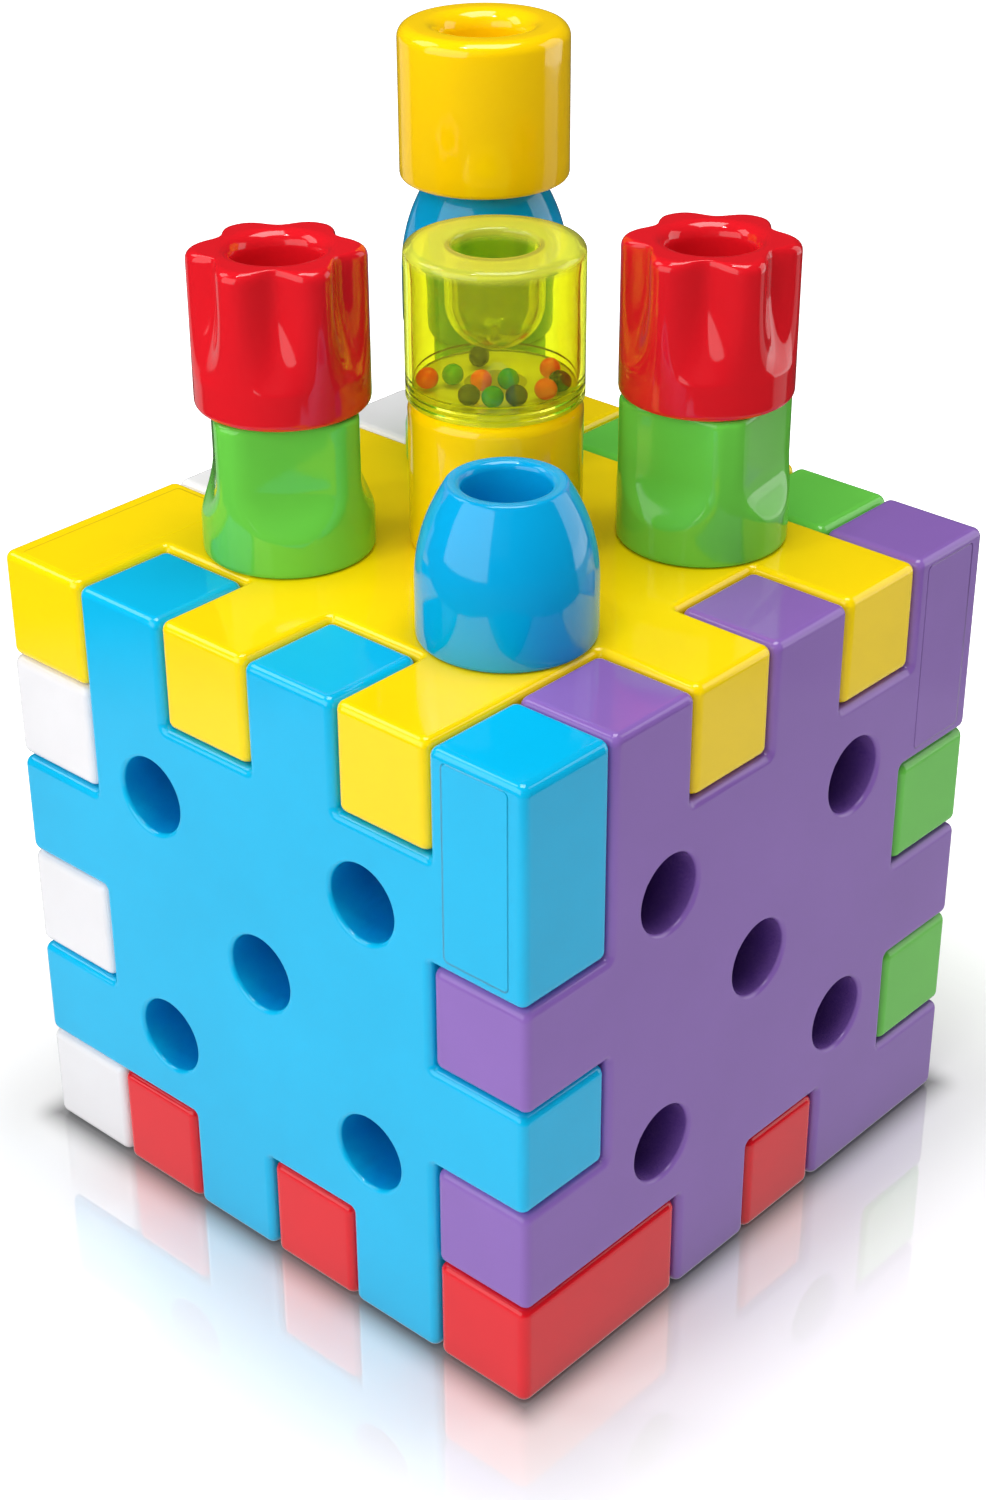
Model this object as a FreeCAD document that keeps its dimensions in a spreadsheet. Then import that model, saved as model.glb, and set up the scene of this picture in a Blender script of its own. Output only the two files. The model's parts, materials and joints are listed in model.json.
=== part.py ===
import FreeCAD, Part
import math
import os

import Sketcher

# Baby activity cube: six interlocking toothed panels round a hollow cube, and
# ten plug-in pegs that stand on the top panel and on one another.
# Row frame: origin at the centre of the base on the floor, +Z up, front at -Y.

os.makedirs("parts", exist_ok=True)
doc = FreeCAD.newDocument("ActivityCube")
sheet = doc.addObject("Spreadsheet::Sheet", "Sizes")

SIZES = [
    # cube
    ("cube_edge", 150, "outer edge of the closed cube"),
    ("panel_depth", 25, "how deep a panel reaches inwards, and how long its teeth are"),
    ("panel_gap", 0.5, "gap between a tooth and the notch it sits in"),
    ("face_step", 0.3, "how far a tooth's end stays below the neighbour's face"),
    ("face_wall", 2.6, "thickness of a panel's face"),
    ("side_wall", 2.4, "thickness of a panel's and a tooth's side walls"),
    ("edge_round", 1.9, "rounding round a panel's outline, on both faces"),
    ("tooth_round", 2.2, "rounding of the teeth's corners"),
    ("notch_round", 0.8, "rounding in the notches' corners"),
    # peg holes in the panels
    ("bore_radius", 8.85, "bore of the panels' holes and of the pegs' sockets"),
    ("bore_lip", 1.0, "rounding at a hole's and a socket's mouth"),
    ("funnel_lip", 2.2, "broad rounding at the mouth of a drum's and a flower's socket"),
    ("tube_wall", 2.0, "wall of the tube behind each panel hole"),
    ("tube_length", 21, "length of a panel hole from the outer face"),
    # pegs
    ("peg_height", 33, "height of a peg above its seat"),
    ("peg_radius", 18.5, "outer radius of the opaque pegs"),
    ("peg_wall", 2.2, "wall of an opaque peg"),
    ("peg_foot_round", 1.2, "rounding at the foot of a peg"),
    ("peg_shoulder_round", 2.8, "rounding of a drum's and a flower's top edge"),
    ("scoop_top_round", 1.4, "rounding of a scoop peg's top edge"),
    ("socket_depth", 20.5, "depth of the socket in a peg's top"),
    ("socket_flat", 0.3, "radius of the flat in the middle of a socket's round floor"),
    ("cup_wall", 1.5, "wall of the cup that makes the socket"),
    ("foot_thickness", 3.0, "thickness of the disc that closes a peg's foot"),
    ("foot_ledge", 0.8, "width of the ledge that the foot disc seats on"),
    ("foot_clearance", 0.1, "gap round the foot disc's rim"),
    ("stem_clearance", 0.25, "gap between a stem and the bore it plugs into"),
    ("stem_length", 17.5, "length of the plug stem"),
    ("stem_wall", 2.0, "wall of the plug stem"),
    ("stem_flat", 2.2, "radius of the flat on the stem's round free end"),
    # dome peg
    ("dome_start", 12, "height at which the dome starts to curve in"),
    ("dome_land", 0.76, "ring between the dome's side curve and the lip of its socket"),
    # scoop peg
    ("scoop_flat", 15.1, "distance from the axis to a scoop's flat"),
    ("scoop_foot", 9.4, "height at which a scoop leaves the round foot"),
    ("scoop_flare", 15, "radius of the curve at the bottom of a scoop"),
    # flower peg
    ("flute_radius", 5.2, "radius of a flute of the flower peg"),
    ("flute_depth", 4.0, "depth of a flute at the top"),
    ("flute_run", 24.5, "length of a flute down from the top"),
    # rattle peg
    ("rattle_extra", 0.3, "how much wider than the other pegs the clear rattle is"),
    ("rattle_wall", 1.7, "wall of the clear rattle"),
    ("rattle_round", 1.8, "rounding of the rattle's top edge"),
    ("bead_radius", 2.25, "radius of a bead"),
    ("bead_clearance", 0.3, "gap between the beads and the rattle's walls"),
]
for row, (alias, value, meaning) in enumerate(SIZES, start=1):
    sheet.set(f"A{row}", meaning)
    sheet.set(f"B{row}", str(value))
    sheet.setAlias(f"B{row}", alias)
doc.recompute()


class Size:
    """A length with its number and the expression that binds it to the sheet."""

    def __init__(self, value, text):
        self.value = value
        self.text = text

    @staticmethod
    def of(other):
        return other if isinstance(other, Size) else Size(float(other), f"{other}")

    def __add__(self, other):
        o = Size.of(other)
        return Size(self.value + o.value, f"({self.text} + {o.text})")

    def __sub__(self, other):
        o = Size.of(other)
        return Size(self.value - o.value, f"({self.text} - {o.text})")

    def __mul__(self, other):
        o = Size.of(other)
        return Size(self.value * o.value, f"({self.text} * {o.text})")

    def __truediv__(self, other):
        o = Size.of(other)
        return Size(self.value / o.value, f"({self.text} / {o.text})")

    def __neg__(self):
        return Size(-self.value, f"(0 - {self.text})")

    def least(self, other):
        o = Size.of(other)
        return Size(min(self.value, o.value), f"min({self.text}; {o.text})")

    def root(self):
        return Size(math.sqrt(self.value), f"sqrt({self.text})")


size = {a: Size(float(v), f"Sizes.{a}") for a, v, _ in SIZES}
zero = Size(0.0, "0")
nodes = []


def finish_node(obj, node):
    obj.Label = node
    nodes.append(obj)
    return obj


def place(obj, at, rotation=None):
    """Put obj at a point given by three sizes, with a fixed rotation."""
    obj.Placement = FreeCAD.Placement(
        FreeCAD.Vector(*(c.value for c in at)), rotation or FreeCAD.Rotation()
    )
    for axis, c in zip("xyz", at):
        obj.setExpression(f".Placement.Base.{axis}", c.text)


def plane_sketch(body, role, name, offset=None):
    plane = next(f for f in body.Origin.OriginFeatures if f.Role == role)
    sketch = body.newObject("Sketcher::SketchObject", name)
    sketch.AttachmentSupport = [(plane, "")]
    sketch.MapMode = "FlatFace"
    if offset is not None:
        sketch.AttachmentOffset = FreeCAD.Placement(
            FreeCAD.Vector(0, 0, offset.value), FreeCAD.Rotation()
        )
        sketch.setExpression(".AttachmentOffset.Base.z", offset.text)
    return sketch


def outline(sketch, path):
    """A closed outline: each entry is a corner (x, y), or (x, y, centre, turn) when an
    arc about centre runs from this corner to the next, turn being +1 anticlockwise."""
    count = len(path)
    for i, entry in enumerate(path):
        a, b = entry, path[(i + 1) % count]
        start = FreeCAD.Vector(a[0].value, a[1].value, 0)
        end = FreeCAD.Vector(b[0].value, b[1].value, 0)
        if len(entry) == 2:
            sketch.addGeometry(Part.LineSegment(start, end), False)
            continue
        centre = FreeCAD.Vector(entry[2][0].value, entry[2][1].value, 0)
        from_angle = math.atan2(start.y - centre.y, start.x - centre.x)
        to_angle = math.atan2(end.y - centre.y, end.x - centre.x)
        if entry[3] < 0:
            from_angle, to_angle = to_angle, from_angle
        circle = Part.Circle(centre, FreeCAD.Vector(0, 0, 1), (start - centre).Length)
        if to_angle <= from_angle:
            to_angle += 2 * math.pi
        sketch.addGeometry(Part.ArcOfCircle(circle, from_angle, to_angle), False)

    def ends(i):
        entry = path[i]
        backwards = len(entry) > 2 and entry[3] < 0
        return (2, 1) if backwards else (1, 2)

    for i in range(count):
        after = (i + 1) % count
        sketch.addConstraint(
            Sketcher.Constraint("Coincident", i, ends(i)[1], after, ends(after)[0])
        )
    for i, entry in enumerate(path):
        first = ends(i)[0]
        for kind, c in (("DistanceX", entry[0]), ("DistanceY", entry[1])):
            n = sketch.addConstraint(Sketcher.Constraint(kind, i, first, c.value))
            sketch.setExpression(f"Constraints[{n}]", c.text)
        if len(entry) > 2:
            dx, dy = entry[0] - entry[2][0], entry[1] - entry[2][1]
            radius = (dx * dx + dy * dy).root()
            n = sketch.addConstraint(Sketcher.Constraint("Radius", i, radius.value))
            sketch.setExpression(f"Constraints[{n}]", radius.text)


def circles(sketch, centres, radius):
    for i, (x, y) in enumerate(centres):
        circle = Part.Circle(
            FreeCAD.Vector(x.value, y.value, 0), FreeCAD.Vector(0, 0, 1), radius.value
        )
        sketch.addGeometry(circle, False)
        for kind, c in (("DistanceX", x), ("DistanceY", y)):
            n = sketch.addConstraint(Sketcher.Constraint(kind, i, 3, c.value))
            sketch.setExpression(f"Constraints[{n}]", c.text)
        n = sketch.addConstraint(Sketcher.Constraint("Radius", i, radius.value))
        sketch.setExpression(f"Constraints[{n}]", radius.text)


def turned(body, path, name):
    """Turn a profile, drawn with x as the radius and y as the height, about Z."""
    sketch = plane_sketch(body, "XZ_Plane", name + "_profile")
    outline(sketch, path)
    turn = body.newObject("PartDesign::Revolution", name)
    turn.Profile = sketch
    turn.ReferenceAxis = (sketch, ["V_Axis"])
    turn.Angle = 360
    body.Tip = turn
    return turn


def fillet(body, base, edges, radius, name):
    feature = body.newObject("PartDesign::Fillet", name)
    feature.Base = (base, edges)
    feature.Radius = radius.value
    feature.setExpression("Radius", radius.text)
    body.Tip = feature
    doc.recompute()
    return feature


# ---------------------------------------------------------------- panels

half = size["cube_edge"] / 2
gap = size["panel_gap"] / 2
pitch = (size["cube_edge"] - size["panel_depth"] * 2) / 4
spread = pitch * 5 / 4  # corner holes' distance from the middle hole along each side
depth = size["panel_depth"] - gap


def side_path(inset, corner):
    """One side of a panel's outline, clockwise along the top: tooth, notch, tooth,
    notch, after an owned corner where there is one. inset is how far every wall lies
    inside the panel's share of the cube."""
    core = half - size["panel_depth"] - inset
    corner_wall = half - size["panel_depth"] + inset
    end = half - size["face_step"] - (inset - gap)
    second = pitch - (half - size["panel_depth"]) - inset
    third = pitch * 2 - (half - size["panel_depth"]) + inset
    fourth = pitch * 3 - (half - size["panel_depth"]) - inset
    start = [(-core, end)]
    if corner:
        start = [(-core, corner_wall), (-end, corner_wall), (-end, end)]
    return start + [
        (second, end), (second, core), (third, core), (third, end), (fourth, end), (fourth, core),
    ]


def panel_path(inset, corners):
    """The whole outline; corners holds the owned ones of TL, TR, BR, BL."""
    path = []
    for turn, corner in enumerate(("TL", "TR", "BR", "BL")):
        for x, y in side_path(inset, corner in corners):
            for _ in range(turn):
                x, y = y, -x
            path.append((x, y))
    return path


def is_flat(edge, z):
    return all(abs(v.Z - z) < 1e-4 for v in edge.Vertexes) and edge.Length > 0.01


def panel(node, corners, at, rotation):
    body = doc.addObject("PartDesign::Body", node + "_body")
    outer = plane_sketch(body, "XY_Plane", node + "_outline")
    path = panel_path(gap, corners)
    outline(outer, path)
    block = body.newObject("PartDesign::Pad", node + "_block")
    block.Profile = outer
    block.Reversed = True
    block.Length = depth.value
    block.setExpression("Length", depth.text)
    body.Tip = block
    doc.recompute()

    # the corners of teeth are rounder than those of notches
    points = [(x.value, y.value) for x, y in path]

    def upright_edges(shape, sticking_out):
        found = []
        for i, edge in enumerate(shape.Edges, start=1):
            p, q = edge.Vertexes[0].Point, edge.Vertexes[-1].Point
            if abs(p.z - q.z) < 1:
                continue
            for k, (x, y) in enumerate(points):
                if math.hypot(p.x - x, p.y - y) > 0.01:
                    continue
                before, after = points[k - 1], points[(k + 1) % len(points)]
                cross = (x - before[0]) * (after[1] - y) - (y - before[1]) * (after[0] - x)
                if (cross < 0) == sticking_out:
                    found.append(f"Edge{i}")
        return found

    teeth = upright_edges(block.Shape, True)
    block = fillet(body, block, teeth, size["tooth_round"], node + "_teeth")
    # the notch edges are looked for now, because the first rounding renumbers them
    notches = upright_edges(block.Shape, False)
    block = fillet(body, block, notches, size["notch_round"], node + "_notches")
    rim = [
        f"Edge{i}"
        for i, e in enumerate(block.Shape.Edges, start=1)
        if is_flat(e, 0) or is_flat(e, -depth.value)
    ]
    block = fillet(body, block, rim, size["edge_round"], node + "_rim")

    inner = plane_sketch(body, "XY_Plane", node + "_hollow_outline", -size["face_wall"])
    outline(inner, panel_path(gap + size["side_wall"], corners))
    hollow = body.newObject("PartDesign::Pocket", node + "_hollow")
    hollow.Profile = inner
    hollow.Type = "ThroughAll"
    body.Tip = hollow
    doc.recompute()
    assert hollow.Shape.Volume < 0.6 * block.Shape.Volume, node + " is not hollow"

    o = spread
    centres = [(zero, zero), (-o, o), (o, o), (o, -o), (-o, -o)]
    rings = plane_sketch(body, "XY_Plane", node + "_tube_rings", -size["face_wall"] / 2)
    circles(rings, centres, size["bore_radius"] + size["tube_wall"])
    tubes = body.newObject("PartDesign::Pad", node + "_tubes")
    tubes.Profile = rings
    tubes.Reversed = True
    length = size["tube_length"] - size["face_wall"] / 2
    tubes.Length = length.value
    tubes.setExpression("Length", length.text)
    body.Tip = tubes
    bores = plane_sketch(body, "XY_Plane", node + "_bore_rings")
    circles(bores, centres, size["bore_radius"])
    holes = body.newObject("PartDesign::Pocket", node + "_holes")
    holes.Profile = bores
    holes.Type = "ThroughAll"
    body.Tip = holes
    doc.recompute()
    assert holes.Shape.Volume < tubes.Shape.Volume, node + " has no holes"
    mouths = [
        f"Edge{i}"
        for i, e in enumerate(holes.Shape.Edges, start=1)
        if is_flat(e, 0) and isinstance(e.Curve, Part.Circle)
        and abs(e.Curve.Radius - size["bore_radius"].value) < 1e-4
    ]
    fillet(body, holes, mouths, size["bore_lip"], node + "_lips")
    place(body, at, rotation)
    return finish_node(body, node)


def frame(x, y, z):
    """The rotation whose own axes point along x, y and z."""
    matrix = FreeCAD.Matrix(
        x[0], y[0], z[0], 0, x[1], y[1], z[1], 0, x[2], y[2], z[2], 0, 0, 0, 0, 1
    )
    return FreeCAD.Rotation(matrix)


right, left_, back, front = (1, 0, 0), (-1, 0, 0), (0, 1, 0), (0, -1, 0)
up, down = (0, 0, 1), (0, 0, -1)
top_face = size["cube_edge"]

panel("bottom_panel", {"TR"}, (zero, zero, zero), frame(right, front, down))
panel("front_panel", {"TR"}, (zero, -half, half), frame(right, up, front))
panel("right_panel", {"TR", "BR"}, (half, zero, half), frame(back, up, right))
panel("back_panel", {"TR", "BR"}, (zero, half, half), frame(left_, up, back))
panel("left_panel", {"BR"}, (-half, zero, half), frame(front, up, left_))
panel("top_panel", {"BL"}, (zero, zero, top_face), frame(right, back, up))

# ---------------------------------------------------------------- pegs

tall = size["peg_height"]
socket, cup = size["bore_radius"], size["cup_wall"]
rattle_radius = size["peg_radius"] + size["rattle_extra"]
floor_round = socket - size["socket_flat"]
floor = tall - size["socket_depth"]
foot = size["foot_thickness"]


def foot_radius(radius, wall):
    return radius - wall + size["foot_ledge"] - size["foot_clearance"]


def inside_path(radius, wall, lip, step=None):
    """The inner half of a peg shell's profile, from the socket's mouth round the cup
    and down to the ledge for the foot disc. step = (radius, height): the hollow is
    only as wide as that radius above that height."""
    wide = radius - wall
    ledge = wide + size["foot_ledge"]
    path = [
        (socket + lip, tall, (socket + lip, tall - lip), 1),
        (socket, tall - lip),
        (socket, floor + floor_round, (socket - floor_round, floor + floor_round), -1),
        (socket - floor_round, floor),
        (zero, floor),
        (zero, floor - cup),
        (socket - floor_round, floor - cup, (socket - floor_round, floor + floor_round), 1),
        (socket + cup, floor + floor_round),
        (socket + cup, tall - wall),
    ]
    if step:
        path += [(step[0], tall - wall), (step[0], step[1]), (wide, step[1])]
    else:
        path += [(wide, tall - wall)]
    return path + [(wide, foot), (ledge, foot), (ledge, zero)]


def toe_of(wall):
    """The rounding at a peg's foot, no larger than the rim beside the foot disc."""
    return size["peg_foot_round"].least((wall - size["foot_ledge"]) * 0.9)


def outside_path(radius, shoulder, wall=size["peg_wall"]):
    toe = toe_of(wall)
    return [
        (radius - toe, zero, (radius - toe, toe), 1),
        (radius, toe),
        (radius, tall - shoulder, (radius - shoulder, tall - shoulder), 1),
        (radius - shoulder, tall),
    ]


def dome_paths():
    """The dome's outside, and the inside that follows it one wall further in."""
    radius, start = size["peg_radius"], size["dome_start"]
    wall = size["peg_wall"]
    toe = toe_of(wall)
    lip = size["bore_lip"]
    # the side curve leaves the upright wall smoothly and ends at the ring at the top
    rise = tall - start
    rim = socket + lip + size["dome_land"]
    inward = radius - rim
    curve = (inward * inward + rise * rise) / (inward * 2)
    centre = (radius - curve, start)
    outside = [
        (radius - toe, zero, (radius - toe, toe), 1),
        (radius, toe),
        (radius, start, centre, 1),
        (rim, tall),
    ]
    inner_curve = curve - wall
    crown = socket + cup + 1
    reach = crown - centre[0]
    crown_height = start + (inner_curve * inner_curve - reach * reach).root()
    inside = inside_path(radius, wall, lip)
    cup_end = inside.index(next(p for p in inside if p[1].value == (tall - wall).value))
    inside = inside[:cup_end] + [
        (socket + cup, crown_height),
        (crown, crown_height, centre, -1),
        (radius - wall, start),
    ] + inside[-3:]
    return outside + inside


def shell_path(kind):
    radius, shoulder = size["peg_radius"], size["peg_shoulder_round"]
    wall = size["peg_wall"]
    if kind == "dome":
        return dome_paths()
    if kind == "scoop":
        step = (size["scoop_flat"] - wall, size["scoop_foot"])
        outside = outside_path(radius, size["scoop_top_round"])
        return outside + inside_path(radius, wall, size["bore_lip"], step)
    if kind == "flower":
        step = (radius - size["flute_depth"] - wall, tall - size["flute_run"])
        outside = outside_path(radius, shoulder)
        return outside + inside_path(radius, wall, size["funnel_lip"], step)
    if kind == "rattle":
        radius, wall = rattle_radius, size["rattle_wall"]
        outside = outside_path(radius, size["rattle_round"], wall)
        return outside + inside_path(radius, wall, size["bore_lip"])
    return outside_path(radius, shoulder) + inside_path(radius, wall, size["funnel_lip"])


def cylinder(name, radius, height, at, rotation=None):
    c = doc.addObject("Part::Cylinder", name)
    for prop, s in (("Radius", radius), ("Height", height)):
        setattr(c, prop, s.value)
        c.setExpression(prop, s.text)
    place(c, at, rotation)
    return c


def box(name, lengths, at):
    b = doc.addObject("Part::Box", name)
    for prop, s in zip(("Length", "Width", "Height"), lengths):
        setattr(b, prop, s.value)
        b.setExpression(prop, s.text)
    place(b, at)
    return b


def joined(kind, name, shapes):
    fuse = doc.addObject(kind, name)
    fuse.Shapes = shapes
    return fuse


def cut(name, base, tool):
    c = doc.addObject("Part::Cut", name)
    c.Base, c.Tool = base, tool
    return c


def scoop_cutters(name):
    """Four cutters: each a flat slab above, that flares out to the round foot below."""
    radius, flat = size["peg_radius"], size["scoop_flat"]
    flare, bottom = size["scoop_flare"], size["scoop_foot"]
    # the flare is an arc, tangent to the flat, that leaves the round wall at the foot
    run = radius - flat
    rise = (flare * flare - (flare - run) * (flare - run)).root()
    made = []
    for quarter in range(4):
        turn = FreeCAD.Rotation(FreeCAD.Vector(0, 0, 1), 90 * quarter)
        roller = cylinder(
            f"{name}_roller{quarter}", flare, radius * 2, (flat + flare, radius, bottom + rise),
            FreeCAD.Rotation(FreeCAD.Vector(1, 0, 0), 90),
        )
        slab = box(
            f"{name}_slab{quarter}", (flare, radius * 2, tall),
            (flat, -radius, bottom + rise),
        )
        pair = joined("Part::MultiFuse", f"{name}_cutter{quarter}", [roller, slab])
        pair.Placement = FreeCAD.Placement(FreeCAD.Vector(0, 0, 0), turn)
        made.append(pair)
    return joined("Part::MultiFuse", name + "_cutters", made)


def flute_cutters(name):
    """Six slanted cylinders that fade out of the wall above the round foot."""
    radius, flute = size["peg_radius"], size["flute_radius"]
    deep, run = size["flute_depth"], size["flute_run"]
    slope = f"atan2({deep.text}; {run.text})"
    slant = math.degrees(math.atan2(deep.value, run.value))
    side = Size(math.cos(math.radians(slant)), f"cos({slope})")
    # the cylinder's inner side passes through the wall where the flute ends
    reach = radius + flute / side
    made = []
    for n in range(6):
        angle = math.radians(60 * n)
        across, along = round(math.cos(angle), 6), round(math.sin(angle), 6)
        lean = FreeCAD.Rotation(FreeCAD.Vector(along, -across, 0), slant)
        rod = cylinder(
            f"{name}_rod{n}", flute, tall * 2, (reach * across, reach * along, tall - run), lean
        )
        rod.setExpression(".Placement.Rotation.Angle", slope)
        made.append(rod)
    return joined("Part::MultiFuse", name + "_flutes", made)


def peg(name, kind, x, y, level, turn=0):
    """A peg is a moulded shell, closed underneath by a disc with the plug stem."""
    seat = top_face + tall * level
    spin = FreeCAD.Rotation(FreeCAD.Vector(0, 0, 1), turn)
    radius = rattle_radius if kind == "rattle" else size["peg_radius"]
    wall = size["rattle_wall"] if kind == "rattle" else size["peg_wall"]

    body = doc.addObject("PartDesign::Body", name + "_shell_body")
    turned(body, shell_path(kind), name + "_shell_turned")
    shell = body
    if kind == "scoop":
        shell = cut(name + "_shell_cut", body, scoop_cutters(name))
    if kind == "flower":
        shell = cut(name + "_shell_cut", body, flute_cutters(name))
    place(shell, (x, y, seat), spin)
    finish_node(shell, name + "_shell")

    stem = socket - size["stem_clearance"]
    end = stem - size["stem_flat"]
    long, thin = size["stem_length"], size["stem_wall"]
    disc = foot_radius(radius, wall)
    base = doc.addObject("PartDesign::Body", name + "_base_body")
    turned(
        base,
        [
            (zero, -long),
            (stem - end, -long, (stem - end, end - long), 1),
            (stem, end - long),
            (stem, zero),
            (disc, zero),
            (disc, foot),
            (stem - thin, foot),
            (stem - thin, thin - long),
            (zero, thin - long),
        ],
        name + "_base_turned",
    )
    place(base, (x, y, seat), spin)
    finish_node(base, name + "_base")


o = spread
peg("front_dome", "dome", o, -o, 0)
peg("left_scoop", "scoop", -o, -o, 0, -40)
peg("left_flower", "flower", -o, -o, 1, 14)
peg("right_scoop", "scoop", o, o, 0, 9)
peg("right_flower", "flower", o, o, 1, 5)
peg("centre_drum", "drum", zero, zero, 0)
peg("rattle", "rattle", zero, zero, 1)
peg("back_scoop", "scoop", -o, o, 0, -45)
peg("back_dome", "dome", -o, o, 1)
peg("back_drum", "drum", -o, o, 2)

# ---------------------------------------------------------------- beads

# The beads lie loose on the rattle's foot disc. Each entry is a bead's distance from
# the axis, as a share of the furthest that the wall allows, and its direction in degrees.
BEADS = {
    "rattle_beads_red": [(0.99, 239), (0.42, 284), (0.99, 356), (0.79, 47)],
    "rattle_beads_blue": [(0.59, 156), (0.99, 291), (0.99, 329), (0.98, 17)],
    "rattle_beads_green": [(0.62, 236), (0.99, 310), (0.38, 341)],
}
bead = size["bead_radius"]
bead_ring = rattle_radius - size["rattle_wall"] - bead - size["bead_clearance"]
bead_height = top_face + tall + foot + bead + size["bead_clearance"]
for node, spots in BEADS.items():
    balls = []
    for n, (share, angle) in enumerate(spots):
        ball = doc.addObject("Part::Sphere", f"{node}_{n}")
        ball.Radius = bead.value
        ball.setExpression("Radius", bead.text)
        across = bead_ring * round(share * math.cos(math.radians(angle)), 6)
        along = bead_ring * round(share * math.sin(math.radians(angle)), 6)
        place(ball, (across, along, bead_height))
        balls.append(ball)
    finish_node(joined("Part::MultiFuse", node + "_joined", balls), node)

# ---------------------------------------------------------------- checks and export

doc.recompute()
for obj in doc.Objects:
    if "Invalid" in obj.State or "Error" in obj.State:
        raise RuntimeError(f"{obj.Name} failed: {obj.State}")
for obj in nodes:
    shape = obj.Shape
    if shape.isNull() or not shape.isValid():
        raise RuntimeError(f"{obj.Label} has no valid shape")
for obj in nodes:
    obj.Shape.exportStep(f"parts/{obj.Label}.step")
    b = obj.Shape.BoundBox
    print(
        f"{obj.Label}: {len(obj.Shape.Solids)} solid, {obj.Shape.Volume / 1000:.1f} cm3,"
        f" x {b.XMin:.1f}..{b.XMax:.1f} y {b.YMin:.1f}..{b.YMax:.1f} z {b.ZMin:.1f}..{b.ZMax:.1f}"
    )
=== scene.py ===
# Baby activity cube: gloss plastic panels, softly moulded pegs and a rattle with loose beads.
import json
import math

import bmesh
import bpy
from mathutils import Matrix, Vector


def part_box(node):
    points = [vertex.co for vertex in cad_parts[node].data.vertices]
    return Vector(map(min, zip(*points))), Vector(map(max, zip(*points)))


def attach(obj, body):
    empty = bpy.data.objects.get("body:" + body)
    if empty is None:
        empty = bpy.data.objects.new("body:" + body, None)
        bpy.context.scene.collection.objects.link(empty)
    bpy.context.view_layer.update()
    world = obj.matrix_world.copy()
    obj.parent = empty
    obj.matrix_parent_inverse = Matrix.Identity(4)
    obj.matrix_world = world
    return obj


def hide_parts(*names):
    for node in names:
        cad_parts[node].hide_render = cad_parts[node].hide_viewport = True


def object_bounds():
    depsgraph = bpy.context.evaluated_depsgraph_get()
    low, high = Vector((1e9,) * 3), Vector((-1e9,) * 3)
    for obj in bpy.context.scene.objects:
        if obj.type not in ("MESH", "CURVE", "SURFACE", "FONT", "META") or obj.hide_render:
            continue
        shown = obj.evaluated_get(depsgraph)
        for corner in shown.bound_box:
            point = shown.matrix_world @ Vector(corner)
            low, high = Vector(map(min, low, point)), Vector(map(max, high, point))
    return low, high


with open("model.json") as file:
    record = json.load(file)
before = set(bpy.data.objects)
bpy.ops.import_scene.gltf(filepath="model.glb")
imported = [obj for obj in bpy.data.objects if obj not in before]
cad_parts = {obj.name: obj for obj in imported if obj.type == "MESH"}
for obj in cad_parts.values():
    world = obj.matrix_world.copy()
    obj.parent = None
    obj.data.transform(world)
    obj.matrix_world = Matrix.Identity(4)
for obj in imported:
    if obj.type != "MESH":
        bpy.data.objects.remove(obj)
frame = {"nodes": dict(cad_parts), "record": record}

cadBounds = [list(corner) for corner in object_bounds()]
scene = bpy.context.scene
slotOf = {part["node"]: part["material_slot"] for part in frame["record"]["subparts"]}
mm = 0.001
noiseSpan = (0.3, 0.7)  # most of a noise lies between these
print("frame loaded:", len(frame["nodes"]), "nodes")


# small helpers for the materials' nodes
def nodeIn(tree, kind, **inputs):
    node = tree.nodes.new(kind)
    for name, value in inputs.items():
        node.inputs[name.replace("_", " ")].default_value = value
    return node


def blankMaterial(name):
    material = bpy.data.materials.new(name)
    material.use_nodes = True
    tree = material.node_tree
    tree.nodes.clear()
    output = tree.nodes.new("ShaderNodeOutputMaterial")
    return material, tree, output


def objectPlace(tree):
    return tree.nodes.new("ShaderNodeTexCoord").outputs["Object"]


def maths(tree, operation, a, b=0.0):
    node = tree.nodes.new("ShaderNodeMath")
    node.operation = operation
    for socket, value in zip(node.inputs, (a, b)):
        if isinstance(value, (int, float)):
            socket.default_value = value
        else:
            tree.links.new(value, socket)
    return node.outputs[0]


def dotWith(tree, point, axis, shift=0.0):
    # distance of a point along an axis, from shift
    dot = tree.nodes.new("ShaderNodeVectorMath")
    dot.operation = "DOT_PRODUCT"
    tree.links.new(point, dot.inputs[0])
    dot.inputs[1].default_value = axis
    return maths(tree, "SUBTRACT", dot.outputs["Value"], shift)


def ranged(tree, source, fromSpan, toSpan, easing="LINEAR"):
    spread = nodeIn(
        tree, "ShaderNodeMapRange",
        From_Min=fromSpan[0], From_Max=fromSpan[1], To_Min=toSpan[0], To_Max=toSpan[1],
    )
    spread.interpolation_type = easing
    tree.links.new(source, spread.inputs["Value"])
    return spread.outputs["Result"]


def outsideBox(tree, sides):
    # distance outside a rectangle, from its two (coordinate, half width) pairs
    squares = []
    for coordinate, half in sides:
        past = maths(tree, "SUBTRACT", maths(tree, "ABSOLUTE", coordinate), half)
        past = maths(tree, "MAXIMUM", past, 0.0)
        squares.append(maths(tree, "MULTIPLY", past, past))
    return maths(tree, "SQRT", maths(tree, "ADD", *squares))


def noiseAt(tree, place, size, detail):
    noise = nodeIn(tree, "ShaderNodeTexNoise", Scale=size, Detail=detail)
    tree.links.new(place, noise.inputs["Vector"])
    return noise.outputs["Fac"]


def bumpFrom(tree, height, strength=1.0, distance=1.0):
    bump = nodeIn(tree, "ShaderNodeBump", Strength=strength, Distance=distance)
    tree.links.new(height, bump.inputs["Height"])
    return bump


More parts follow.
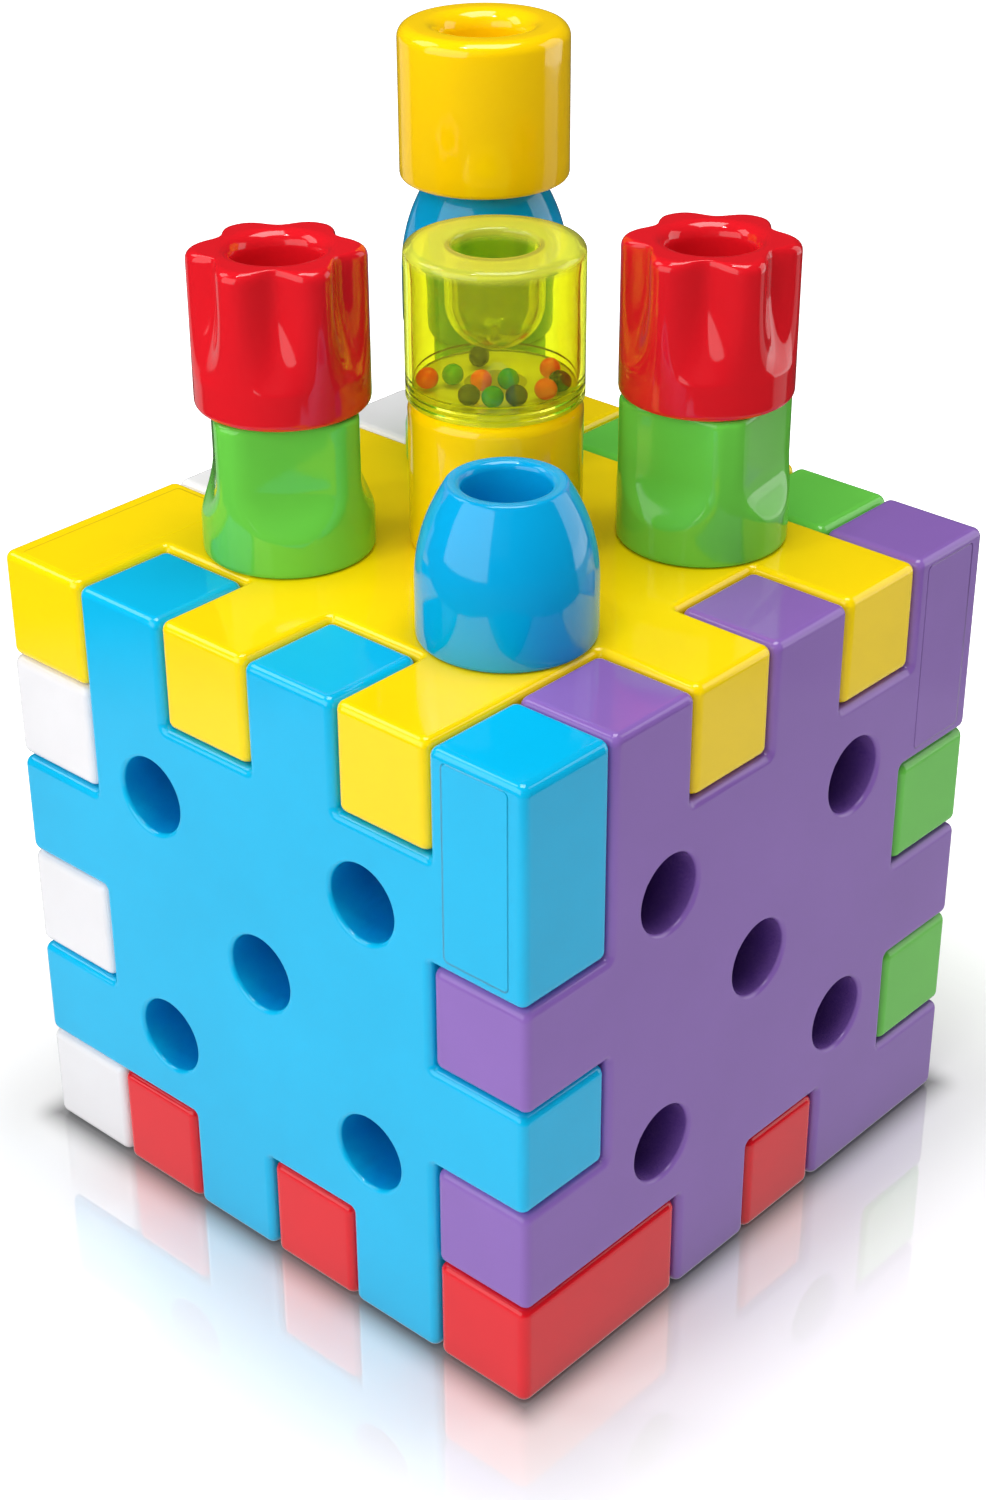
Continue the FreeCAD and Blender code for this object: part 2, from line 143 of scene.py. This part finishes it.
def mixed(tree, share, first, second):
    mix = tree.nodes.new("ShaderNodeMixShader")
    for socket, source in zip(mix.inputs, (share, first, second)):
        tree.links.new(source, socket)
    return mix.outputs[0]


plate = {
    "cells": 6,  # teeth and gaps along an edge of the cube
    "acrossFrom": 0.0039,  # from the block's inner side
    "across": 0.0167,
    "upFrom": 0.0030,  # from the block's foot
    "along": 0.0445,
    "corner": 0.0012,
    "step": 0.00060,
    "slope": 0.00026,
    "faceDepth": 0.0004,  # the surface this close to the block's face carries the plate
    "fainter": {"top_panel": 0.25},
}

# each panel: its face's outward direction, and where its two-cell block with the plate
# stands, as sideways and upward directions of the face with the block's corner there
longBlocks = {
    "front_panel": ((0, -1, 0), (1, 0, 0), (0, 0, 1)),
    "right_panel": ((1, 0, 0), (0, 1, 0), (0, 0, 1)),
    "back_panel": ((0, 1, 0), (-1, 0, 0), (0, 0, 1)),
    "left_panel": ((-1, 0, 0), (0, 0, -1), (0, -1, 0)),
    "top_panel": ((0, 0, 1), (-1, 0, 0), (0, -1, 0)),
    "bottom_panel": ((0, 0, -1), (1, 0, 0), (0, -1, 0)),
}


def plateSpot(node):
    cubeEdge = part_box("top_panel")[1].z
    half = cubeEdge / 2
    cell = cubeEdge / plate["cells"]
    outwards, across, along = (Vector(axis) for axis in longBlocks[node])
    middle = Vector((0, 0, half)) + outwards * half
    middle += across * (half - cell + plate["acrossFrom"] + plate["across"] / 2)
    middle += along * (half - 2 * cell + plate["upFrom"] + plate["along"] / 2)
    return middle, across, along, outwards, plate["step"] * plate["fainter"].get(node, 1.0)


def plateHeight(tree, point, spot):
    # a bare plate stands a hair proud of the long block's face, with rounded corners
    middle, across, along, outwards, step = spot
    sides = [
        (dotWith(tree, point, axis, middle.dot(axis)), length / 2 - plate["corner"])
        for axis, length in ((across, plate["across"]), (along, plate["along"]))
    ]
    edge = maths(tree, "SUBTRACT", outsideBox(tree, sides), plate["corner"])
    raised = ranged(tree, edge, (-plate["slope"], plate["slope"]), (step, 0.0), "SMOOTHSTEP")
    above = dotWith(tree, point, outwards, middle.dot(outwards))
    onFace = maths(tree, "GREATER_THAN", above, -plate["faceDepth"])
    return maths(tree, "MULTIPLY", raised, onFace)


gloss = {
    "blotchSize": 26,  # slow drift of the pigment, per metre
    "blotchDetail": 3.0,
    "blotchDarker": 0.05,
    "blotchLighter": 0.02,
    "peelSize": 420,  # the moulded skin's faint orange peel
    "peelDetail": 1.5,
    "peelStrength": 0.35,
    "peelHeight": 0.00002,
    "grainSize": 2600,  # fine unevenness of the shine
    "grainDetail": 2.0,
    "smoothest": 0.05,
    "roughest": 0.11,
    "index": 1.55,
    "boreShadeReach": 0.03,  # painted shade in the bores: how far a hollow's own walls shade it, in metres
    "boreShadeSamples": 4,
    "boreShadeFrom": 0.04,
    "boreShadeTo": 0.50,
    "boreShadeRichness": 3.4,
}


def glossPlastic(name, colour, spot=None):
    material, tree, output = blankMaterial(name)
    links = tree.links
    place = objectPlace(tree)
    skin = nodeIn(tree, "ShaderNodeBsdfPrincipled", IOR=gloss["index"])
    blotch = noiseAt(tree, place, gloss["blotchSize"], gloss["blotchDetail"])
    peel = noiseAt(tree, place, gloss["peelSize"], gloss["peelDetail"])
    grain = noiseAt(tree, place, gloss["grainSize"], gloss["grainDetail"])
    tint = nodeIn(tree, "ShaderNodeHueSaturation", Color=(*colour, 1))
    drift = (1 - gloss["blotchDarker"], 1 + gloss["blotchLighter"])
    links.new(ranged(tree, blotch, noiseSpan, drift), tint.inputs["Value"])
    pigment = tint.outputs["Color"]
    bump = bumpFrom(tree, peel, gloss["peelStrength"], gloss["peelHeight"])
    if spot:
        # painted shade: deep in a bore an occlusion node darkens the plastic's colour and makes it
        # richer
        boreOcclusion = nodeIn(tree, "ShaderNodeAmbientOcclusion", Distance=gloss["boreShadeReach"])
        boreOcclusion.samples = gloss["boreShadeSamples"]
        boreOcclusion.only_local = True
        openness = (gloss["boreShadeFrom"], gloss["boreShadeTo"])
        deep = tree.nodes.new("ShaderNodeGamma")
        boreShadeGamma = ranged(tree, boreOcclusion.outputs["AO"], openness, (gloss["boreShadeRichness"], 1.0))
        links.new(boreShadeGamma, deep.inputs["Gamma"])
        links.new(pigment, deep.inputs["Color"])
        pigment = deep.outputs["Color"]
        pressed = bumpFrom(tree, plateHeight(tree, place, spot))
        links.new(pressed.outputs["Normal"], bump.inputs["Normal"])
    links.new(pigment, skin.inputs["Base Color"])
    shine = ranged(tree, grain, noiseSpan, (gloss["smoothest"], gloss["roughest"]))
    links.new(shine, skin.inputs["Roughness"])
    links.new(bump.outputs["Normal"], skin.inputs["Normal"])
    links.new(skin.outputs["BSDF"], output.inputs["Surface"])
    return material


panelColours = {
    "blue_plastic": (0.002, 0.475, 0.81),
    "yellow_plastic": (0.99, 0.70, 0.0015),
    "purple_plastic": (0.262, 0.134, 0.475),
    "green_plastic": (0.145, 0.60, 0.075),
    "red_plastic": (0.77, 0.010, 0.020),
    "white_plastic": (0.82, 0.81, 0.83),
}

# the pegs take copies of the panels' colours, mostly darker and richer: painted shade for how the
# light falls on them
pegShadedColours = {
    "blue_plastic": (0.001, 0.37, 0.72),
    "yellow_plastic": (1.0, 0.645, 0.001),
    "green_plastic": (0.145, 0.61, 0.065),
    "red_plastic": (0.72, 0.009, 0.017),
}

beadColours = {
    "red_bead": (0.95, 0.06, 0.01),
    "blue_bead": (0.002, 0.010, 0.12),
    "green_bead": (0.01, 0.30, 0.06),
}

clearLime = {
    "surface": (0.82, 0.82, 0.12),
    "clearTop": 0.58,
    "clearWall": 0.955,
    "milkyFrom": 0.003,  # below the top, where the wall starts to turn milky
    "milkyTo": 0.0012,
    "milkySurface": (0.88, 0.80, 0.03),  # the disc underneath
    "milkyClearness": 0.2,
    "ripples": 160.0,
    "rippleDetail": 1.0,
    "rippleStrength": 0.3,
    "rippleHeight": 0.00003,
    "smoothest": 0.01,
    "roughest": 0.04,
    "shade": (0.98, 0.97, 0.62),  # what its wall leaves of the light
    "through": (0.89, 0.915, 0.72),
    "density": 900.0,
    "index": 1.49,
}


def clearPlastic(name, milky=False):
    material, tree, output = blankMaterial(name)
    links = tree.links
    place = objectPlace(tree)
    skin = nodeIn(tree, "ShaderNodeBsdfPrincipled", IOR=clearLime["index"])
    skin.inputs["Base Color"].default_value = (*clearLime["milkySurface" if milky else "surface"], 1)
    if milky:
        skin.inputs["Transmission Weight"].default_value = clearLime["milkyClearness"]
    else:
        # the flat top is milkier than the walls
        split = tree.nodes.new("ShaderNodeSeparateXYZ")
        links.new(place, split.inputs[0])
        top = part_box("rattle_shell")[1].z
        turning = (top - clearLime["milkyFrom"], top - clearLime["milkyTo"])
        clearness = (clearLime["clearWall"], clearLime["clearTop"])
        clear = ranged(tree, split.outputs["Z"], turning, clearness)
        links.new(clear, skin.inputs["Transmission Weight"])
    ripple = noiseAt(tree, place, clearLime["ripples"], clearLime["rippleDetail"])
    shine = ranged(tree, ripple, noiseSpan, (clearLime["smoothest"], clearLime["roughest"]))
    links.new(shine, skin.inputs["Roughness"])
    bump = bumpFrom(tree, ripple, clearLime["rippleStrength"], clearLime["rippleHeight"])
    links.new(bump.outputs["Normal"], skin.inputs["Normal"])
    # light reaches the beads through the wall
    letThrough = nodeIn(tree, "ShaderNodeBsdfTransparent", Color=(*clearLime["shade"], 1))
    path = tree.nodes.new("ShaderNodeLightPath")
    inShadow = path.outputs["Is Shadow Ray"]
    wall = mixed(tree, inShadow, skin.outputs["BSDF"], letThrough.outputs["BSDF"])
    links.new(wall, output.inputs["Surface"])
    depth = nodeIn(
        tree, "ShaderNodeVolumeAbsorption",
        Color=(*clearLime["through"], 1), Density=clearLime["density"],
    )
    links.new(depth.outputs["Volume"], output.inputs["Volume"])
    return material


plastics = {slot: glossPlastic("peg_" + slot, colour) for slot, colour in pegShadedColours.items()}
plastics.update({slot: glossPlastic(slot, colour) for slot, colour in beadColours.items()})
plastics["clear_lime_plastic"] = clearPlastic("clear_lime_plastic")
milkyLime = clearPlastic("milky_lime_plastic", milky=True)

for nodeName, cadNode in frame["nodes"].items():
    slot = slotOf[nodeName]
    if nodeName in longBlocks:
        finish = glossPlastic(nodeName + "_plastic", panelColours[slot], plateSpot(nodeName))
    elif nodeName == "rattle_base":
        finish = milkyLime
    else:
        finish = plastics[slot]
    cadNode.data.materials.clear()
    cadNode.data.materials.append(finish)
print("materials made for", len(frame["nodes"]), "nodes")


meshing = {
    "fewestSegments": 4,  # in a rounding
    "segmentsPerMm": 3,
    "mergeWithin": 0.004,  # millimetres
    "sharpest": 40,  # degrees, past which an edge stays hard
}


def drawProfile(corners):
    # corners: (radius, height, rounding) in millimetres, from the axis back to the axis
    bm = bmesh.new()
    made = [bm.verts.new((x * mm, 0, z * mm)) for x, z, _ in corners]
    for a, b in zip(made, made[1:]):
        bm.edges.new((a, b))
    spots = [Vector((x, 0, z)) for x, z, _ in corners]
    for i, (_, _, rounding) in enumerate(corners):
        if not rounding:
            continue
        before, after = spots[i - 1] - spots[i], spots[i + 1] - spots[i]
        offset = rounding / math.tan(before.angle(after) / 2)
        segments = max(meshing["fewestSegments"], round(rounding * meshing["segmentsPerMm"]))
        bmesh.ops.bevel(
            bm, geom=[made[i]], offset=offset * mm, offset_type="OFFSET",
            segments=segments, profile=0.5, affect="VERTICES", material=-1,
        )
    return bm


def turnProfile(corners, longest, steps):
    # the profile, with no edge longer than longest millimetres, spun round the axis
    bm = drawProfile(corners)
    for edge in [e for e in bm.edges if e.calc_length() > longest * mm]:
        cuts = int(edge.calc_length() / (longest * mm))
        bmesh.ops.subdivide_edges(bm, edges=[edge], cuts=cuts)
    bmesh.ops.spin(
        bm, geom=bm.verts[:] + bm.edges[:], cent=(0, 0, 0), axis=(0, 0, 1),
        angle=math.tau, steps=steps, use_merge=True, use_duplicate=False,
    )
    bmesh.ops.remove_doubles(bm, verts=bm.verts, dist=meshing["mergeWithin"] * mm)
    return bm


def finishPiece(bm, name, where, turn=0.0):
    bmesh.ops.recalc_face_normals(bm, faces=bm.faces)
    turned = Matrix.Rotation(math.radians(turn), 3, "Z")
    bmesh.ops.rotate(bm, verts=bm.verts, cent=(0, 0, 0), matrix=turned)
    bmesh.ops.translate(bm, verts=bm.verts, vec=where)
    for face in bm.faces:
        face.smooth = True
    for edge in bm.edges:
        edge.smooth = edge.calc_face_angle(0) < math.radians(meshing["sharpest"])
    mesh = bpy.data.meshes.new(name)
    bm.to_mesh(mesh)
    bm.free()
    piece = bpy.data.objects.new(name, mesh)
    scene.collection.objects.link(piece)
    return piece


def seatOf(node):
    low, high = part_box(node)
    return Vector(((low.x + high.x) / 2, (low.y + high.y) / 2, low.z))


# all the pegs' sizes are in millimetres
peg = {
    "radius": 18.5, "height": 33.0, "wall": 2.2,
    "footRound": 1.2, "ledge": 0.8, "discThickness": 3.0, "ceilingRound": 0.8,
    "bore": 8.85, "cupFloor": 12.5, "cupWall": 1.5, "cupRound": 8.5,
}


def pegInside(lip, radius=peg["radius"], wall=peg["wall"], step=None):
    # up: from the socket's floor on the axis to its lip; down: from the foot back to the axis
    bore, floor = peg["bore"], peg["cupFloor"]
    cup, under = bore + peg["cupWall"], floor - peg["cupWall"]
    wide, ceiling = radius - wall, peg["height"] - wall
    disc = peg["discThickness"]
    up = [(0, floor, 0), (bore, floor, peg["cupRound"]), (bore, peg["height"], lip)]
    down = [(wide + peg["ledge"], 0, 0), (wide + peg["ledge"], disc, 0), (wide, disc, 0)]
    if step:
        narrow, height = step
        down += [(wide, height, 0), (narrow, height, peg["ceilingRound"]), (narrow, ceiling, 0)]
    else:
        down += [(wide, ceiling, peg["ceilingRound"])]
    down += [(cup, ceiling, 0), (cup, under, peg["cupRound"] + peg["cupWall"]), (0, under, 0)]
    return up, down


def straightSide(shoulder):
    return [(peg["radius"], peg["height"], shoulder), (peg["radius"], 0, peg["footRound"])]


def pressWall(bm, held, outline):
    # brings the wall in to the outline, and leaves the socket inside held alone
    for v in bm.verts:
        radius = math.hypot(v.co.x, v.co.y) / mm
        if radius <= held:
            continue
        outer = outline(v.co.z / mm, math.atan2(v.co.y, v.co.x))
        moved = held + (radius - held) * (outer - held) / (peg["radius"] - held)
        v.co.x *= moved / radius
        v.co.y *= moved / radius


drum = {"shoulder": 2.9, "lip": 4.2, "longest": 4, "steps": 128}


def drumBody():
    up, down = pegInside(drum["lip"])
    return turnProfile(up + straightSide(drum["shoulder"]) + down, drum["longest"], drum["steps"])


dome = {
    "sideStart": 12.0, "rim": 12.0, "rimRound": 0.8, "lip": 1.7,
    "innerBeside": 2.2, "innerAbove": 9.0,  # the inside's step, from the bore and the side's start
    "sideSteps": 24, "longest": 4, "steps": 128,
}


def domeBody():
    step = (peg["bore"] + dome["innerBeside"], dome["sideStart"] + dome["innerAbove"])
    up, down = pegInside(dome["lip"], step=step)
    rise = peg["height"] - dome["sideStart"]
    inward = peg["radius"] - dome["rim"]
    curve = (inward ** 2 + rise ** 2) / (2 * inward)
    # the side bends in along one long arc, from the rim down
    side = []
    for i in range(dome["sideSteps"] + 1):
        angle = math.asin(rise / curve) * (1 - i / dome["sideSteps"])
        x = peg["radius"] - curve + curve * math.cos(angle)
        z = dome["sideStart"] + curve * math.sin(angle)
        side.append((x, z, dome["rimRound"] if i == 0 else 0))
    side.append((peg["radius"], 0, peg["footRound"]))
    return turnProfile(up + side + down, dome["longest"], dome["steps"])


flower = {
    "shoulder": 2.1, "lip": 3.5, "lobes": 6, "fluteDepth": 4.4, "narrowness": 1.25,
    "fluteFoot": 8.0, "flareTop": 25.0, "flareEase": 1.6,
    "heldInside": 12.9, "longest": 0.7, "steps": 240,
}


def flowerOutline(height, angle):
    # flutes press the wall in; below they flare out again, above the round foot
    below = (flower["flareTop"] - height) / (flower["flareTop"] - flower["fluteFoot"])
    depth = flower["fluteDepth"] * (1 - min(max(below, 0), 1) ** flower["flareEase"])
    wave = (1 + math.cos(flower["lobes"] * angle)) / 2
    return peg["radius"] - depth * wave ** flower["narrowness"]


def flowerBody():
    step = (peg["radius"] - flower["fluteDepth"] - peg["wall"], flower["fluteFoot"])
    up, down = pegInside(flower["lip"], step=step)
    corners = up + straightSide(flower["shoulder"]) + down
    bm = turnProfile(corners, flower["longest"], flower["steps"])
    pressWall(bm, flower["heldInside"], flowerOutline)
    return bm


scoop = {
    "shoulder": 1.4, "lip": 1.1, "sides": 4, "flat": 15.1,
    "flare": 15.0, "foot": 9.4, "blend": 1.6,
    "heldInside": 12.95, "longest": 0.7, "steps": 240,
}


def softLeast(a, b, blend):
    near = max(blend - abs(a - b), 0) / blend
    return min(a, b) - near * near * blend / 4


def scoopOutline(height, angle):
    # four flat sides, which flare out along an arc to the round foot
    flare, share = scoop["flare"], math.tau / scoop["sides"]
    flareTop = scoop["foot"] + math.sqrt(flare ** 2 - (flare - peg["radius"] + scoop["flat"]) ** 2)
    below = max(flareTop - height, 0)
    out = scoop["flat"] + flare - math.sqrt(max(flare ** 2 - below ** 2, 0))
    off = abs((angle + share / 2) % share - share / 2)
    return softLeast(peg["radius"], out / math.cos(off), scoop["blend"])


def scoopBody():
    up, down = pegInside(scoop["lip"], step=(scoop["flat"] - peg["wall"], scoop["foot"]))
    corners = up + straightSide(scoop["shoulder"]) + down
    bm = turnProfile(corners, scoop["longest"], scoop["steps"])
    pressWall(bm, scoop["heldInside"], scoopOutline)
    return bm


rattle = {
    "radius": 18.8, "wall": 1.7, "topRound": 1.8, "footRound": 0.8, "lip": 1.0,
    "nubRadius": 1.0, "nubHeight": 2.8, "nubTaper": 0.8, "nubRound": 0.4, "nubFoot": 0.3,
    "rings": (1.5, 2.9, 4.6), "ringDepth": 0.38, "ringWidth": 0.5,
    "longest": 3, "steps": 144,
}


def rattleBody():
    radius = rattle["radius"]
    up, down = pegInside(rattle["lip"], radius, rattle["wall"])
    # a small nub stands in the middle of the socket's floor
    nubTop = peg["cupFloor"] + rattle["nubHeight"]
    up[:1] = [
        (0, nubTop, 0),
        (rattle["nubRadius"] * rattle["nubTaper"], nubTop, rattle["nubRound"]),
        (rattle["nubRadius"], peg["cupFloor"], rattle["nubFoot"]),
    ]
    side = [(radius, peg["height"], rattle["topRound"])]
    # fine rings where the floor is joined to the wall
    half = rattle["ringWidth"] / 2
    for height in reversed(rattle["rings"]):
        side += [
            (radius, height + half, 0),
            (radius - rattle["ringDepth"], height, 0),
            (radius, height - half, 0),
        ]
    side.append((radius, 0, rattle["footRound"]))
    return turnProfile(up + side + down, rattle["longest"], rattle["steps"])


# each peg: how its moulding is made, and how far it is turned, in degrees
pegKinds = {
    "front_dome": (domeBody, 0), "back_dome": (domeBody, 0),
    "centre_drum": (drumBody, 0), "back_drum": (drumBody, 0),
    "left_flower": (flowerBody, 14), "right_flower": (flowerBody, 5),
    "left_scoop": (scoopBody, -40), "right_scoop": (scoopBody, 9), "back_scoop": (scoopBody, -45),
    "rattle": (rattleBody, 0),
}
for name, (makeBody, turn) in pegKinds.items():
    shellNode = name + "_shell"
    shell = finishPiece(makeBody(), name + "_moulding", seatOf(shellNode), turn)
    shell.data.materials.append(plastics[slotOf[shellNode]])
    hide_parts(shellNode)
    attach(shell, name + "_peg")
print("pegs made:", len(pegKinds))


floorSheet = {
    "radius": 5.0, "steps": 96, "drop": 0.0001, "colour": 0.86,
    "liftNear": 0.05, "liftFar": 0.9, "liftTo": 0.16,  # the pale backdrop, from the cube outwards
    "mirror": 0.34, "mirrorReach": 0.065,
    # a painted contact shadow darkens the sheet along the cube's foot
    "contact": 0.90, "contactInside": 0.0054, "contactReach": 0.0090,
    "paintedShadowColour": (0.01, 0.01, 0.016),
    "glossNear": 0.62, "glossFar": 0.04, "glossFrom": 0.30, "glossTo": 0.37,
    # two painted pools of light on the sheet, seen in the plastic's gloss
    "paintedLightPools": ((-180, 0.955, 0.975), (56, 0.965, 0.98)), "paintedPoolBright": 0.5,
}


def seenDirectly(tree, path):
    # what the camera sees, straight or through clear plastic
    through = maths(tree, "GREATER_THAN", path.outputs["Transmission Depth"], 0.5)
    rays = path.outputs["Is Camera Ray"], path.outputs["Is Transmission Ray"]
    return maths(tree, "MAXIMUM", maths(tree, "MAXIMUM", *rays), through)


def besideCube(tree, place):
    # distance outside the square that the cube stands on
    half = (cadBounds[1][0] - cadBounds[0][0]) / 2
    split = tree.nodes.new("ShaderNodeSeparateXYZ")
    tree.links.new(place, split.inputs[0])
    return outsideBox(tree, [(split.outputs[axis], half) for axis in ("X", "Y")])


def polishedSheet(tree, path, beside):
    matt = nodeIn(tree, "ShaderNodeBsdfDiffuse", Color=(*[floorSheet["colour"]] * 3, 1))
    glow = tree.nodes.new("ShaderNodeEmission")
    lifted = (floorSheet["liftNear"], floorSheet["liftFar"])
    lift = ranged(tree, beside, (0.0, floorSheet["liftTo"]), lifted)
    lift = maths(tree, "MULTIPLY", lift, seenDirectly(tree, path))
    tree.links.new(lift, glow.inputs["Strength"])
    both = tree.nodes.new("ShaderNodeAddShader")
    tree.links.new(matt.outputs["BSDF"], both.inputs[0])
    tree.links.new(glow.outputs["Emission"], both.inputs[1])
    # close to the cube's foot the sheet mirrors it faintly
    polish = nodeIn(tree, "ShaderNodeBsdfGlossy", Roughness=0.0)
    shine = ranged(tree, beside, (0.0, floorSheet["mirrorReach"]), (floorSheet["mirror"], 0.0))
    shine = maths(tree, "MULTIPLY", shine, path.outputs["Is Camera Ray"])
    polished = mixed(tree, shine, both.outputs[0], polish.outputs["BSDF"])
    # painted shadow: a dark line is painted on the sheet along the cube's foot, for its contact
    # shadow
    paintedShadow = nodeIn(tree, "ShaderNodeBsdfDiffuse", Color=(*floorSheet["paintedShadowColour"], 1))
    touching = (-floorSheet["contactInside"], floorSheet["contactReach"])
    touch = ranged(tree, beside, touching, (floorSheet["contact"], 0.0), "SMOOTHERSTEP")
    return mixed(tree, touch, polished, paintedShadow.outputs["BSDF"])


def sheetInGloss(tree, place):
    # in the plastic's gloss only the near part of the sheet shows
    away = tree.nodes.new("ShaderNodeVectorMath")
    away.operation = "LENGTH"
    tree.links.new(place, away.inputs[0])
    fadeFrom = (floorSheet["glossFrom"], floorSheet["glossTo"])
    fadeTo = (floorSheet["glossNear"], floorSheet["glossFar"])
    bright = ranged(tree, away.outputs["Value"], fadeFrom, fadeTo)
    # further off, two bright pools of light are painted on it, where the side lamps would light it
    point = tree.nodes.new("ShaderNodeVectorMath")
    point.operation = "NORMALIZE"
    tree.links.new(place, point.inputs[0])
    for azimuth, edge, inner in floorSheet["paintedLightPools"]:
        turned = math.radians(azimuth)
        along = dotWith(tree, point.outputs["Vector"], (math.cos(turned), math.sin(turned), 0))
        pool = ranged(tree, along, (edge, inner), (0.0, floorSheet["paintedPoolBright"]))
        bright = maths(tree, "MAXIMUM", bright, pool)
    mirrored = tree.nodes.new("ShaderNodeEmission")
    tree.links.new(bright, mirrored.inputs["Strength"])
    return mirrored.outputs[0]


def floorMaterial():
    material, tree, output = blankMaterial("studio_floor")
    path = tree.nodes.new("ShaderNodeLightPath")
    place = objectPlace(tree)
    sheet = polishedSheet(tree, path, besideCube(tree, place))
    inGloss = maths(tree, "SUBTRACT", path.outputs["Is Glossy Ray"], seenDirectly(tree, path))
    inGloss = maths(tree, "MAXIMUM", inGloss, 0.0)
    either = mixed(tree, inGloss, sheet, sheetInGloss(tree, place))
    tree.links.new(either, output.inputs["Surface"])
    return material


bm = bmesh.new()
bmesh.ops.create_circle(
    bm, cap_ends=True, segments=floorSheet["steps"], radius=floorSheet["radius"],
)
floor = finishPiece(bm, "studio_floor", Vector((0, 0, cadBounds[0][2] - floorSheet["drop"])))
if floor.data.polygons[0].normal.z < 0:
    floor.data.flip_normals()
floor.data.materials.append(floorMaterial())

# softboxes: where the middle stands, the height it faces, its size and its brightness,
# and whether it shows in the plastic's gloss
softboxes = {
    "left_window": {
        "azimuth": -101, "distance": 0.95, "height": 0.56, "facing": 0.50,
        "size": (1.15, 0.92), "bright": 1.6, "shows": True,
    },
    "right_window": {
        "azimuth": 60, "distance": 0.90, "height": 0.45, "facing": 0.45,
        "size": (0.60, 0.90), "bright": 1.5, "shows": True,
    },
    "edge_light": {
        "azimuth": -153, "distance": 0.62, "height": 0.72, "facing": 0.10,
        "size": (0.34, 0.40), "bright": 2.6, "shows": True,
    },
    "overhead": {
        "azimuth": 35, "distance": 0.12, "height": 1.40, "facing": 0.10,
        "size": (0.75, 0.75), "bright": 5.3, "shows": True,
    },
    "glint": {
        "azimuth": -100, "distance": 0.40, "height": 1.25, "facing": 0.10,
        "size": (0.09, 0.09), "bright": 50.0, "shows": True,
    },
    "fill": {
        "azimuth": -66, "distance": 0.95, "height": 0.75, "facing": 0.12,
        "size": (0.80, 0.80), "bright": 2.1, "shows": False,
    },
}
for name, box in softboxes.items():
    width, height = box["size"]
    lamp = bpy.data.lights.new(name, "AREA")
    lamp.shape = "RECTANGLE"
    lamp.size = width
    lamp.size_y = height
    lamp.energy = box["bright"] * math.pi * width * height
    stand = bpy.data.objects.new(name, lamp)
    scene.collection.objects.link(stand)
    angle, distance = math.radians(box["azimuth"]), box["distance"]
    stand.location = (distance * math.cos(angle), distance * math.sin(angle), box["height"])
    aim = Vector((0, 0, box["facing"])) - stand.location
    stand.rotation_euler = aim.to_track_quat("-Z", "Y").to_euler()
    stand.visible_camera = False
    stand.visible_glossy = box["shows"]

worldLight = {"ambient": 0.18, "inGloss": 0.03}


def makeWorld():
    world = bpy.data.worlds.new("studio")
    scene.world = world
    world.use_nodes = True
    tree = world.node_tree
    tree.nodes.clear()
    output = tree.nodes.new("ShaderNodeOutputWorld")
    path = tree.nodes.new("ShaderNodeLightPath")
    levels = (worldLight["ambient"], worldLight["inGloss"])
    dim = ranged(tree, path.outputs["Is Glossy Ray"], (0.0, 1.0), levels)
    # white for the camera, through clear plastic and in the polished floor
    white = maths(tree, "MAXIMUM", seenDirectly(tree, path), path.outputs["Is Singular Ray"])
    sky = nodeIn(tree, "ShaderNodeBackground", Color=(1, 1, 1, 1))
    tree.links.new(maths(tree, "MAXIMUM", dim, white), sky.inputs["Strength"])
    tree.links.new(sky.outputs["Background"], output.inputs["Surface"])


makeWorld()

cameraPlace = {
    "spot": (0.34542, -0.38019, 0.39298),
    "right": (0.74084687, 0.67165505, -0.0050417),
    "up": (-0.33182133, 0.37251015, 0.86667802),
    "back": (0.58398675, -0.64040275, 0.49884245),
    "lens": 63.25,
    "sensor": 36.0,
    "clipStart": 0.01,
}
lens = bpy.data.cameras.new("camera")
lens.lens = cameraPlace["lens"]
lens.sensor_width = cameraPlace["sensor"]
lens.sensor_fit = "AUTO"
lens.clip_start = cameraPlace["clipStart"]
camera = bpy.data.objects.new("camera", lens)
scene.collection.objects.link(camera)
axes = Matrix([cameraPlace[axis] for axis in ("right", "up", "back")]).transposed().to_4x4()
camera.matrix_world = Matrix.Translation(cameraPlace["spot"]) @ axes
scene.camera = camera
scene.view_settings.view_transform = "Standard"
print("studio ready:", len(softboxes), "lamps")
